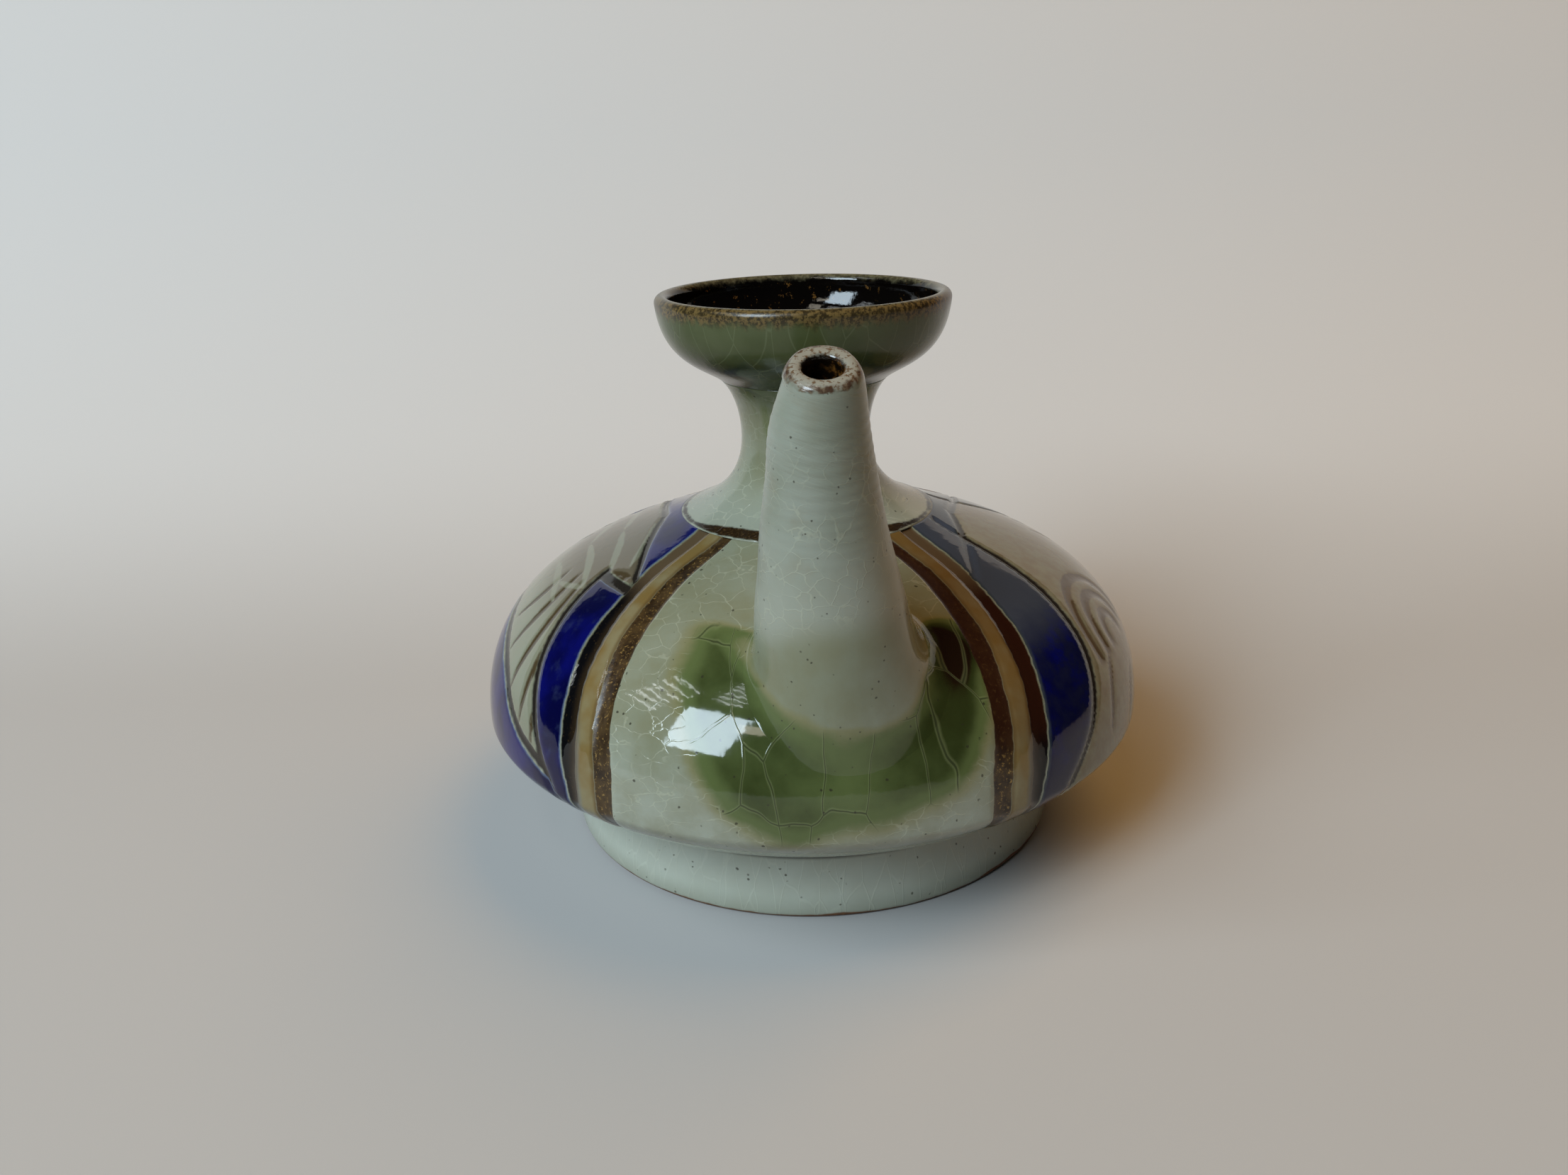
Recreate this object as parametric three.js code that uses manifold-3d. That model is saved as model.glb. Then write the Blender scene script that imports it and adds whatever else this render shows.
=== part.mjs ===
// A squat stoneware pourer: a wide thrown body on a foot ring, a narrow neck that opens into a cup,
// a tall tapering spout and a loose clay ball that rattles inside once the vessel is empty.
// Millimetres, +Z up. The origin is the middle of the foot's resting face, and the spout is at -Y.

import * as THREE from 'three';
import { mergeVertices } from 'three/addons/utils/BufferGeometryUtils.js';
import Module from 'manifold-3d';

// Foot ring
const footHeight = 13.3;
const footBottomRadius = 49.7;
const footTopRadius = 48;
const footBottomWidth = 6.2;
const footTopWidth = 4.5;
const footEdgeRound = 1;

// Body: an underside that rolls out from the foot to the belly, and a shoulder up to the neck.
// Slopes are in degrees, and a sweep is how far a curve keeps its first direction, as a share.
const bellyRadius = 65.7;
const bellyAboveFoot = 12.6;
const undersideSlope = 18;
const undersideSweep = 0.41;
const undersideTuck = 0.25;
const shoulderRise = 36.85;
const shoulderFullness = 0.75;
const shoulderSlope = 29;
const shoulderSweep = 0.32;
const bodyWall = 4;

// Neck, its heights measured from the shoulder
const neckFootRadius = 25;
const neckFootEdge = 0.5;
const neckWaistRadius = 12.5;
const neckWaistRise = 15;
const neckBoreRadius = 8;
const neckHeight = 26.15;
const neckTopRadius = 16.2;
const neckTopSweep = 1.2;

// Cup that the neck opens into, its depth measured from the neck's top to where the lip starts
const cupOuterRadius = 27.95;
const cupDepth = 14.6;
const cupFootSlope = 40;
const cupFootSweep = 0.4;
const cupWallSlope = 85;
const cupFullness = 0.76;
const cupLipWidth = 2.8;
const cupFloorThickness = 2.6;

// Spout, measured from where its centre line crosses the shoulder; its tip reaches out as far as
// the belly does
const spoutRootInset = 15.7;
const spoutRise = 49.4;
const spoutTipLean = 22;
const spoutRootSweep = 0.12;
const spoutTipSweep = 0.35;
const spoutTipRadius = 5.6;
const spoutTipBoreRadius = 2.9;
const spoutTipTaper = 0.33;
const spoutRootRadius = 13.8;
const spoutWall = 3.4;
const spoutFilletWidth = 2.5;
const spoutFilletHeight = 10;
const spoutDepthInWalls = 2.5;

// Clay ball inside, too big for the neck's bore
const ballOversize = 1;

// Clearances
const lutingGap = 0.3;
const ballClearance = 0.3;

// Fineness of the faceted surfaces
const turns = 72;
const neckTurns = 48;
const spoutSides = 32;
const spoutRings = 18;
const ballTurns = 24;
const ballBands = 16;
const shareTolerance = 1e-9;

const wasm = await Module();
wasm.setup();

const bellyHeight = footHeight + bellyAboveFoot;
const neckSeatHeight = bellyHeight + shoulderRise;
const neckTopHeight = neckSeatHeight + neckHeight;

const glazeGround = new THREE.MeshStandardMaterial({ color: 0xb3b198, roughness: 0.25 });
const glazeSpout = new THREE.MeshStandardMaterial({ color: 0xbab49f, roughness: 0.4 });
const glazeGreen = new THREE.MeshStandardMaterial({ color: 0x6f7a52, roughness: 0.25 });
const glazeFoot = new THREE.MeshStandardMaterial({ color: 0xa9a68c, roughness: 0.35 });
const bareClay = new THREE.MeshStandardMaterial({ color: 0x9a7a5c, roughness: 0.85 });

// One quarter of an ellipse as profile points, from its start angle to its end angle in degrees.
function arc(centreRadius, centreHeight, across, up, startDegrees, endDegrees, steps) {
  const start = THREE.MathUtils.degToRad(startDegrees);
  const end = THREE.MathUtils.degToRad(endDegrees);
  const curve = new THREE.EllipseCurve(
    centreRadius, centreHeight, across, up, start, end, endDegrees < startDegrees);
  return curve.getPoints(steps);
}

// The angle, in degrees, at which an ellipse of half height `up` lies `rise` above its centre.
function angleAtRise(rise, up) {
  return THREE.MathUtils.radToDeg(Math.asin(rise / up));
}

function point(radius, height) {
  return new THREE.Vector2(radius, height);
}

// The unit direction that climbs at a slope, out from the axis.
function outAndUp(slopeDegrees) {
  const slope = THREE.MathUtils.degToRad(slopeDegrees);
  return point(Math.cos(slope), Math.sin(slope));
}

// A profile of radius and height, turned about Z.
function turned(profile, segments) {
  const geometry = new THREE.LatheGeometry(profile, segments);
  geometry.rotateX(Math.PI / 2);
  return geometry;
}

// A closed profile that never reaches the axis: its first point is repeated at the end.
function turnedRing(profile, segments) {
  return turned([...profile, profile[0].clone()], segments);
}

function toSolid(geometry) {
  geometry.deleteAttribute('normal');
  geometry.deleteAttribute('uv');
  const merged = mergeVertices(geometry);
  const index = merged.index.array;
  const triVerts = [];
  for (let i = 0; i < index.length; i += 3) {
    const corners = [index[i], index[i + 1], index[i + 2]];
    if (new Set(corners).size === 3) triVerts.push(...corners);
  }
  return new wasm.Manifold(new wasm.Mesh({
    numProp: 3,
    vertProperties: merged.attributes.position.array,
    triVerts: new Uint32Array(triVerts),
  }));
}

function toGeometry(solid) {
  const mesh = solid.getMesh();
  const geometry = new THREE.BufferGeometry();
  geometry.setAttribute('position', new THREE.BufferAttribute(mesh.vertProperties, 3));
  geometry.setIndex(new THREE.BufferAttribute(mesh.triVerts, 1));
  geometry.computeVertexNormals();
  return geometry;
}

// The underside's outline from the foot to the belly, or its inner face at a depth in the wall.
function undersideCurve(depth) {
  const outward = outAndUp(undersideSlope);
  const intoWall = point(-outward.y, outward.x).multiplyScalar(depth);
  const start = point(footTopRadius, footHeight).add(intoWall);
  const end = point(bellyRadius - depth, bellyHeight);
  const reach = (bellyRadius - footTopRadius) * undersideSweep;
  return new THREE.CubicBezierCurve(
    start,
    start.clone().addScaledVector(outward, reach),
    point(end.x, bellyHeight - bellyAboveFoot * undersideTuck),
    end,
  );
}

const neckSeat = point(neckFootRadius, neckSeatHeight);
const shoulderCurve = new THREE.CubicBezierCurve(
  point(bellyRadius, bellyHeight),
  point(bellyRadius, bellyHeight + shoulderRise * shoulderFullness),
  neckSeat.clone().add(
    outAndUp(-shoulderSlope).multiplyScalar((bellyRadius - neckFootRadius) * shoulderSweep)),
  neckSeat,
);

// The unit direction square to the shoulder and out of the body, at a share of its curve.
function shoulderNormal(share) {
  const { v0, v1, v2, v3 } = shoulderCurve;
  const along = v1.clone().sub(v0).multiplyScalar((1 - share) ** 2)
    .addScaledVector(v2.clone().sub(v1), 2 * (1 - share) * share)
    .addScaledVector(v3.clone().sub(v2), share ** 2)
    .normalize();
  return point(along.y, -along.x);
}

// Points from the belly to the neck's seat, sunk into the wall by a depth.
function shoulderPoints(depth, steps) {
  return shoulderCurve.getPoints(steps).map(
    (outer, step) => outer.addScaledVector(shoulderNormal(step / steps), -depth));
}

// How far up the shoulder's curve, as a share, it comes to within a distance of the axis.
function shoulderShareAt(radius) {
  let low = 0;
  let high = 1;
  while (high - low > shareTolerance) {
    const middle = (low + high) / 2;
    if (shoulderCurve.getPoint(middle).x > radius) low = middle;
    else high = middle;
  }
  return low;
}

const floorHeight = undersideCurve(bodyWall).getPoint(0).y;

function footRing() {
  return turnedRing([
    point(footBottomRadius - footBottomWidth, 0),
    point(footBottomRadius - footEdgeRound, 0),
    point(footBottomRadius, footEdgeRound),
    point(footTopRadius, footHeight),
    point(footTopRadius - footTopWidth, footHeight),
  ], turns);
}

// The bowl of the body: a flat floor on the foot ring, and a wall up to the belly.
function bodyLower() {
  const outer = undersideCurve(0).getPoints(10);
  const inner = undersideCurve(bodyWall).getPoints(8);
  return turned([
    point(0, footHeight),
    ...outer,
    ...inner.reverse(),
    point(0, floorHeight),
  ], turns);
}

// The shoulder: a dome from the belly up to a flat land, which the neck sits on, round the opening.
function shoulderShell() {
  const inner = shoulderPoints(bodyWall, 12);
  const ceiling = inner[inner.length - 1].y;
  return turnedRing([
    ...shoulderPoints(0, 16),
    point(neckBoreRadius, neckSeatHeight),
    point(neckBoreRadius, ceiling),
    ...inner.reverse(),
  ], turns);
}

// Everything that the shoulder encloses, with a gap all round: what the spout's foot is cut by.
function shoulderCutter() {
  const outer = shoulderPoints(-lutingGap, 24);
  return turned([
    point(0, 0),
    point(outer[0].x, 0),
    ...outer,
    point(0, outer[outer.length - 1].y),
  ], turns);
}

function neck() {
  const waistHeight = neckSeatHeight + neckWaistRise;
  const footCurveRise = neckWaistRise - neckFootEdge;
  const footCurveOut = neckFootRadius - neckWaistRadius;
  const topRise = neckHeight - neckWaistRise;
  const topCurveRise = topRise * neckTopSweep;
  const topAngle = angleAtRise(topRise, topCurveRise);
  const topCurveOut = (neckTopRadius - neckWaistRadius)
    / (1 - Math.cos(THREE.MathUtils.degToRad(topAngle)));
  return turnedRing([
    point(neckBoreRadius, neckSeatHeight),
    point(neckFootRadius, neckSeatHeight),
    ...arc(neckFootRadius, waistHeight, footCurveOut, footCurveRise, 270, 180, 8),
    ...arc(neckWaistRadius + topCurveOut, waistHeight, topCurveOut, topCurveRise,
      180, 180 - topAngle, 5).slice(1),
    point(neckBoreRadius, neckTopHeight),
  ], neckTurns);
}

function mouthCup() {
  const lipRound = cupLipWidth / 2;
  const lipHeight = neckTopHeight + cupDepth;
  const hollowRadius = cupOuterRadius - cupLipWidth;
  const hollowDepth = cupDepth - cupFloorThickness;
  const foot = point(neckTopRadius, neckTopHeight);
  const rim = point(cupOuterRadius, lipHeight);
  const outside = new THREE.CubicBezierCurve(
    foot,
    foot.clone().addScaledVector(
      outAndUp(cupFootSlope), (cupOuterRadius - neckTopRadius) * cupFootSweep),
    rim.clone().addScaledVector(outAndUp(cupWallSlope), -cupDepth * cupFullness),
    rim,
  );
  return turnedRing([
    point(neckBoreRadius, neckTopHeight),
    ...outside.getPoints(11),
    ...arc(cupOuterRadius - lipRound, lipHeight, lipRound, lipRound, 0, 180, 6).slice(1),
    ...arc(neckBoreRadius, lipHeight, hollowRadius - neckBoreRadius, hollowDepth,
      0, -90, 9).slice(1),
  ], turns);
}

// The spout's centre line, from inside the body, out square to the shoulder, and up to the tip.
function spoutLine() {
  const share = shoulderShareAt(bellyRadius - spoutRootInset);
  const { x: rootReach, y: rootHeight } = shoulderCurve.getPoint(share);
  const { x: leanOut, y: leanUp } = shoulderNormal(share);
  const leanAtTip = THREE.MathUtils.degToRad(spoutTipLean);
  const tipReach = bellyRadius - spoutTipRadius * Math.cos(leanAtTip);
  const root = new THREE.Vector3(0, -rootReach, rootHeight);
  const tip = new THREE.Vector3(0, -tipReach, rootHeight + spoutRise);
  const span = root.distanceTo(tip);
  const outOfBody = new THREE.Vector3(0, -leanOut, leanUp);
  const outOfTip = new THREE.Vector3(0, -Math.sin(leanAtTip), Math.cos(leanAtTip));
  const inside = root.clone().addScaledVector(outOfBody, -spoutDepthInWalls * bodyWall);
  const line = new THREE.CurvePath();
  line.add(new THREE.LineCurve3(inside, root));
  line.add(new THREE.CubicBezierCurve3(
    root,
    root.clone().addScaledVector(outOfBody, span * spoutRootSweep),
    tip.clone().addScaledVector(outOfTip, -span * spoutTipSweep),
    tip,
  ));
  return line;
}

// Rings of points round a line that lies in the YZ plane, joined into one closed skin.
// radiusAt gives the radius at a distance along the line, and reach runs from 0 to 1 of it.
function loft(line, radiusAt, overrun) {
  const length = line.getLength();
  const positions = [];
  const index = [];
  const across = new THREE.Vector3(1, 0, 0);
  for (let ring = 0; ring <= spoutRings; ring += 1) {
    const share = ring / spoutRings;
    const centre = line.getPointAt(share);
    const along = line.getTangentAt(share);
    if (ring === spoutRings) centre.addScaledVector(along, overrun);
    const side = new THREE.Vector3().crossVectors(along, across);
    for (let step = 0; step < spoutSides; step += 1) {
      const angle = (step / spoutSides) * 2 * Math.PI;
      const radius = radiusAt(share * length);
      const corner = centre.clone()
        .addScaledVector(across, radius * Math.cos(angle))
        .addScaledVector(side, radius * Math.sin(angle));
      positions.push(corner.x, corner.y, corner.z);
    }
  }
  for (let ring = 0; ring < spoutRings; ring += 1) {
    for (let step = 0; step < spoutSides; step += 1) {
      const a = ring * spoutSides + step;
      const b = ring * spoutSides + ((step + 1) % spoutSides);
      index.push(a, b, b + spoutSides, a, b + spoutSides, a + spoutSides);
    }
  }
  const last = spoutRings * spoutSides;
  for (let step = 1; step < spoutSides - 1; step += 1) {
    index.push(0, step + 1, step);
    index.push(last, last + step, last + step + 1);
  }
  const geometry = new THREE.BufferGeometry();
  geometry.setAttribute('position', new THREE.Float32BufferAttribute(positions, 3));
  geometry.setIndex(index);
  return geometry;
}

const spoutCentreLine = spoutLine();
const spoutLength = spoutCentreLine.getLength();
const spoutRootAt = spoutCentreLine.curves[0].getLength();

// A straight taper from the tip down to the root, which goes on at the root's size inside.
function spoutTaper(along) {
  const share = (spoutLength - along) / (spoutLength - spoutRootAt);
  return THREE.MathUtils.lerp(spoutTipRadius, spoutRootRadius, Math.min(share, 1));
}

function spoutOuterRadius(along) {
  const aboveRoot = along - spoutRootAt + bodyWall;
  const share = THREE.MathUtils.clamp(1 - aboveRoot / spoutFilletHeight, 0, 1);
  return spoutTaper(along) + spoutFilletWidth * share ** 2;
}

// The bore follows the taper inside the wall, and is never wider than the neck's.
function spoutBoreRadius(along) {
  const fromTip = (spoutLength - along) / (spoutLength - spoutRootAt);
  const wall = THREE.MathUtils.lerp(
    spoutTipRadius - spoutTipBoreRadius, spoutWall, Math.min(fromTip / spoutTipTaper, 1));
  return Math.min(spoutTaper(along) - wall, neckBoreRadius);
}

const shoulderSolid = toSolid(shoulderShell());
const spoutSolid = toSolid(loft(spoutCentreLine, spoutOuterRadius, 0));
const spoutBore = toSolid(loft(spoutCentreLine, spoutBoreRadius, bodyWall));

function bodyUpper() {
  return toGeometry(shoulderSolid.subtract(spoutBore));
}

function spout() {
  return toGeometry(spoutSolid.subtract(spoutBore).subtract(toSolid(shoulderCutter())));
}

function rattleBall() {
  const radius = neckBoreRadius + ballOversize;
  const ball = new THREE.SphereGeometry(radius, ballTurns, ballBands);
  ball.rotateX(Math.PI / 2);
  ball.translate(0, 0, floorHeight + ballClearance + radius);
  return ball;
}

const pourer = new THREE.Group();

function addPiece(name, geometry, material) {
  const mesh = new THREE.Mesh(geometry, material);
  mesh.name = name;
  pourer.add(mesh);
}

addPiece('foot_ring', footRing(), glazeFoot);
addPiece('body_lower', bodyLower(), glazeGround);
addPiece('body_upper', bodyUpper(), glazeGround);
addPiece('neck', neck(), glazeGround);
addPiece('mouth_cup', mouthCup(), glazeGreen);
addPiece('spout', spout(), glazeSpout);
addPiece('rattle_ball', rattleBall(), bareClay);

export default pourer;
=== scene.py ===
import math

import bpy
import numpy as np
from mathutils import Matrix, Vector


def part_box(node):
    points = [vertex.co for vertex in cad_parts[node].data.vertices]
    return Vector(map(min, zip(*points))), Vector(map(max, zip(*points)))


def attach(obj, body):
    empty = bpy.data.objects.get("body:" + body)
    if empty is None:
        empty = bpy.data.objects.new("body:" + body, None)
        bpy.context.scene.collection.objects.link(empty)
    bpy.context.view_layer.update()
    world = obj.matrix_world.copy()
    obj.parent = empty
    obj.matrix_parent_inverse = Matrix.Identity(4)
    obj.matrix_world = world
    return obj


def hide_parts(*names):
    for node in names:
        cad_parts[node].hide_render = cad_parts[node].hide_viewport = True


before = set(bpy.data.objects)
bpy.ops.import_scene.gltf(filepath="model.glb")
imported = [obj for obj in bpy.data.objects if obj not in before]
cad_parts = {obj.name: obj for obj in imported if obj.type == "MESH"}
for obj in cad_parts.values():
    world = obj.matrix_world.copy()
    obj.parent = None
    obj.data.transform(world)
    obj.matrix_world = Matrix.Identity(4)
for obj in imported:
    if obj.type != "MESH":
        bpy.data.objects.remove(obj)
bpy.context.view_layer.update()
mm = 0.001
print("frame loaded", sorted(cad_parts))


# Shaping helpers. Outlines are (radius, height) in millimetres.

def selectNothing():
    bpy.ops.object.select_all(action="DESELECT")


def boxOf(node):
    low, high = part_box(node)
    return low / mm, high / mm


def bezierLine(start, startPull, endPull, end, steps):
    t = np.linspace(0, 1, steps + 1)[:, None]
    start, startPull, endPull, end = (np.array(p, float) for p in (start, startPull, endPull, end))
    return (1 - t) ** 3 * start + 3 * (1 - t) ** 2 * t * startPull \
        + 3 * (1 - t) * t * t * endPull + t ** 3 * end


def direction(degrees, length):
    turn = math.radians(degrees)
    return np.array([length * math.cos(turn), length * math.sin(turn)])


def ease(value, low, high):
    share = np.clip((value - low) / (high - low), 0, 1)
    return share * share * (3 - 2 * share)


def curveThrough(places, values, where):
    places, values = np.array(places, float), np.array(values, float)
    slopes = np.gradient(values, places)
    where = np.clip(where, places[0], places[-1])
    k = np.clip(np.searchsorted(places, where) - 1, 0, len(places) - 2)
    span = places[k + 1] - places[k]
    t = (where - places[k]) / span
    return (2 * t ** 3 - 3 * t ** 2 + 1) * values[k] + (t ** 3 - 2 * t ** 2 + t) * span * slopes[k] \
        + (3 * t ** 2 - 2 * t ** 3) * values[k + 1] + (t ** 3 - t ** 2) * span * slopes[k + 1]


def pointsOf(piece):
    points = np.empty(len(piece.data.vertices) * 3, np.float32)
    piece.data.vertices.foreach_get("co", points)
    return points.reshape(-1, 3).astype(float) / mm


def setPoints(piece, points):
    piece.data.vertices.foreach_set("co", (points * mm).astype(np.float32).ravel())
    piece.data.update()


def lengthsAlong(line):
    # how far each point of a flat line lies from its start
    return np.r_[0, np.cumsum(np.hypot(*np.diff(line, axis=0).T))]


def azimuthOf(points):
    return np.degrees(np.arctan2(points[:, 0], -points[:, 1]))


def reachOf(points):
    return np.hypot(points[:, 0], points[:, 1])


def least(*fields):
    return np.min(np.broadcast_arrays(*fields), axis=0)


def most(*fields):
    return np.max(np.broadcast_arrays(*fields), axis=0)


def curved(*controls):
    return [tuple(point) for point in bezierLine(*controls)]


def selectWhere(piece, chosen):
    # the chosen points and the edges between them
    for vertex in piece.data.vertices:
        vertex.select = bool(chosen[vertex.index])
    for edge in piece.data.edges:
        edge.select = all(chosen[v] for v in edge.vertices)
    for face in piece.data.polygons:
        face.select = False


def editAll():
    bpy.ops.object.mode_set(mode="EDIT")
    bpy.ops.mesh.select_all(action="SELECT")


def finishSmooth():
    bpy.ops.object.mode_set(mode="OBJECT")
    bpy.ops.object.shade_smooth()


def throwOnWheel(name, outline, columns):
    # one point is drawn along the outline, and the line is spun about the upright axis
    selectNothing()
    bpy.ops.mesh.primitive_plane_add(size=1 * mm, location=(0, 0, 0))
    piece = bpy.context.object
    piece.name = piece.data.name = name
    editAll()
    bpy.ops.mesh.merge(type="CENTER")
    bpy.ops.transform.translate(value=(outline[0][0] * mm, 0, outline[0][1] * mm))
    for here, there in zip(outline, outline[1:]):
        step = ((there[0] - here[0]) * mm, 0, (there[1] - here[1]) * mm)
        bpy.ops.mesh.extrude_region_move(TRANSFORM_OT_translate={"value": step})
    bpy.ops.mesh.select_all(action="SELECT")
    bpy.ops.mesh.spin(steps=columns, angle=2 * math.pi, center=(0, 0, 0), axis=(0, 0, 1))
    bpy.ops.mesh.select_all(action="SELECT")
    bpy.ops.mesh.remove_doubles(threshold=0.002 * mm)
    bpy.ops.mesh.normals_make_consistent(inside=False)
    finishSmooth()
    return piece


def alongOutline(points, outline):
    # how far along the outline each point lies, in millimetres from its start
    outline = np.array(outline, float)
    steps = lengthsAlong(outline)
    radius = reachOf(points)
    nearest = np.empty(len(points), int)
    for first in range(0, len(points), 20000):
        part = slice(first, first + 20000)
        away = (radius[part, None] - outline[None, :, 0]) ** 2 \
            + (points[part, 2, None] - outline[None, :, 1]) ** 2
        nearest[part] = away.argmin(1)
    return steps[nearest]


def keepNumber(piece, name, values):
    attribute = piece.data.attributes.new(name, "FLOAT", "POINT")
    attribute.data.foreach_set("value", np.asarray(values, np.float32))


def keepVector(piece, name, x, y, z):
    attribute = piece.data.attributes.new(name, "FLOAT_VECTOR", "POINT")
    attribute.data.foreach_set("vector", np.stack([x, y, z], 1).astype(np.float32).ravel())


def pressIn(piece, name, depth, weights):
    # sinks the surface along its normals by a weighted depth
    selectNothing()
    bpy.context.view_layer.objects.active = piece
    piece.select_set(True)
    group = piece.vertex_groups.new(name=name)
    for index in np.nonzero(weights > 0.002)[0]:
        group.add([int(index)], float(weights[index]), "REPLACE")
    bpy.ops.object.modifier_add(type="DISPLACE")
    modifier = piece.modifiers[-1]
    modifier.strength = -depth * mm
    modifier.mid_level = 0
    modifier.vertex_group = name
    bpy.ops.object.modifier_apply(modifier=modifier.name)
    piece.vertex_groups.remove(piece.vertex_groups[name])


# Material helpers, which add their nodes to the tree of the material being made.
# Colours are written as 0 to 255 and patterns are in millimetres.

def tone(red, green, blue):
    def linear(value):
        value /= 255
        return value / 12.92 if value <= 0.04045 else ((value + 0.055) / 1.055) ** 2.4
    return linear(red), linear(green), linear(blue), 1


def startMaterial(name):
    material = bpy.data.materials.new(name)
    material.use_nodes = True
    tree = material.node_tree
    return material, tree, tree.nodes["Principled BSDF"]


def put(socket, value):
    if isinstance(value, bpy.types.NodeSocket):
        tree.links.new(value, socket)
    else:
        socket.default_value = value


def calc(operation, first, second, clamp=False):
    node = tree.nodes.new("ShaderNodeMath")
    node.operation = operation
    node.use_clamp = clamp
    put(node.inputs[0], first)
    put(node.inputs[1], second)
    return node.outputs[0]


def times(first, second):
    return calc("MULTIPLY", first, second)


def plus(first, second, clamp=False):
    return calc("ADD", first, second, clamp)


def minus(first, second, clamp=False):
    return calc("SUBTRACT", first, second, clamp)


def swing(pattern, reach):
    # a 0 to 1 pattern made to swing by up to half the reach each way
    return times(minus(pattern, 0.5), reach)


def remap(value, low, high, start=0.0, end=1.0):
    node = tree.nodes.new("ShaderNodeMapRange")
    node.interpolation_type = "SMOOTHSTEP"
    put(node.inputs["Value"], value)
    node.inputs["From Min"].default_value = low
    node.inputs["From Max"].default_value = high
    node.inputs["To Min"].default_value = start
    node.inputs["To Max"].default_value = end
    return node.outputs[0]


def mix(amount, first, second):
    node = tree.nodes.new("ShaderNodeMix")
    node.data_type = "RGBA"
    put(node.inputs[0], amount)
    put(node.inputs[6], first)
    put(node.inputs[7], second)
    return node.outputs[2]


def place():
    # object coordinates in millimetres
    source = tree.nodes.new("ShaderNodeTexCoord")
    return stretch(source.outputs["Object"], (1000, 1000, 1000))


def stretch(vector, factors):
    node = tree.nodes.new("ShaderNodeVectorMath")
    node.operation = "MULTIPLY"
    put(node.inputs[0], vector)
    node.inputs[1].default_value = factors
    return node.outputs[0]


def noise(vector, size, detail=2.0, rough=0.5, colour=False):
    node = tree.nodes.new("ShaderNodeTexNoise")
    put(node.inputs["Vector"], vector)
    node.inputs["Scale"].default_value = 1 / size
    node.inputs["Detail"].default_value = detail
    node.inputs["Roughness"].default_value = rough
    return node.outputs["Color" if colour else "Fac"]


def wander(vector, size, reach, detail=2.0):
    # pushes a pattern about, by up to half the reach each way
    drift = noise(vector, size, detail, colour=True)
    node = tree.nodes.new("ShaderNodeVectorMath")
    node.operation = "MULTIPLY_ADD"
    put(node.inputs[0], drift)
    node.inputs[1].default_value = (reach, reach, reach)
    put(node.inputs[2], vector)
    return node.outputs[0]


def cells(vector, size, feature="DISTANCE_TO_EDGE", scatter=1.0):
    node = tree.nodes.new("ShaderNodeTexVoronoi")
    node.feature = feature
    put(node.inputs["Vector"], vector)
    node.inputs["Scale"].default_value = 1 / size
    node.inputs["Randomness"].default_value = scatter
    return node.outputs["Distance"]


def number(name):
    node = tree.nodes.new("ShaderNodeAttribute")
    node.attribute_name = name
    return node.outputs["Fac"]


def vectorOf(name):
    node = tree.nodes.new("ShaderNodeAttribute")
    node.attribute_name = name
    return node.outputs["Vector"]


def numbers(name):
    return parts(vectorOf(name))


def parts(vector):
    split = tree.nodes.new("ShaderNodeSeparateXYZ")
    tree.links.new(vector, split.inputs[0])
    return split.outputs[0], split.outputs[1], split.outputs[2]


def between(low, high, soft):
    # 1 where the first distance is past its edge and the second isn't yet
    return times(remap(low, -soft, soft), remap(high, soft, -soft))


def relief(shader, height, reach, strength, under=None):
    node = tree.nodes.new("ShaderNodeBump")
    node.inputs["Strength"].default_value = strength
    node.inputs["Distance"].default_value = reach * mm
    put(node.inputs["Height"], height)
    if under is not None:
        tree.links.new(under, node.inputs["Normal"])
    tree.links.new(node.outputs[0], shader.inputs["Normal"])
    return node.outputs[0]


# Camera, lights and floor

view = {
    "lens": 28.19,
    "place": (-0.0107, -0.2355, 0.1335),
    "turn": -1.38,
    "down": 20.53,
    "roll": -1.6,
    "sensor": 36,
    "nearest": 0.01,
}

bpy.ops.object.camera_add()
camera = bpy.context.object
camera.data.lens = view["lens"]
camera.data.sensor_width = view["sensor"]
camera.data.clip_start = view["nearest"]
camera.matrix_world = Matrix.Translation(view["place"]) \
    @ Matrix.Rotation(math.radians(view["turn"]), 4, "Z") \
    @ Matrix.Rotation(math.radians(90 - view["down"]), 4, "X") \
    @ Matrix.Rotation(math.radians(view["roll"]), 4, "Z")
bpy.context.scene.camera = camera

lights = {
    "window": {"azimuth": -43.2, "height": 36, "away": 2.0, "size": (0.7, 1.02), "power": 36,
               "tone": (0.72, 0.88, 1.0), "mirrored": True},
    "sky": {"azimuth": -70, "height": 44, "away": 2.0, "size": (0.8, 0.8), "power": 13,
            "tone": (0.72, 0.88, 1.0), "mirrored": False},
    "pane": {"azimuth": -25, "height": 43, "away": 2.0, "size": (0.34, 0.2), "power": 1.1,
             "tone": (1.0, 0.92, 0.76), "mirrored": True},
    "pane_high": {"azimuth": -20, "height": 59, "away": 2.0, "size": (0.24, 0.36), "power": 1.3,
                  "tone": (1.0, 0.92, 0.76), "mirrored": True},
    "lamp": {"azimuth": 115, "height": 64, "away": 1.6, "size": (1.2, 1.0), "power": 11.5,
             "tone": (1.0, 0.53, 0.13), "mirrored": False},
}
slat = {"away": 2.0, "size": (0.42, 0.022), "power": 0.36, "tone": (0.93, 0.98, 1.0), "mirrored": True}
for step in range(6):
    lights[f"slat_left_{step}"] = {**slat, "azimuth": -76, "height": 40 + step * 3.6}
    lights[f"slat_top_{step}"] = {**slat, "azimuth": -46, "height": 58 + step * 2.6, "size": (0.3, 0.02),
                                  "power": 0.24}
aimHeight = 0.05   # what the lights point at, a little up the axis
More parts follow.
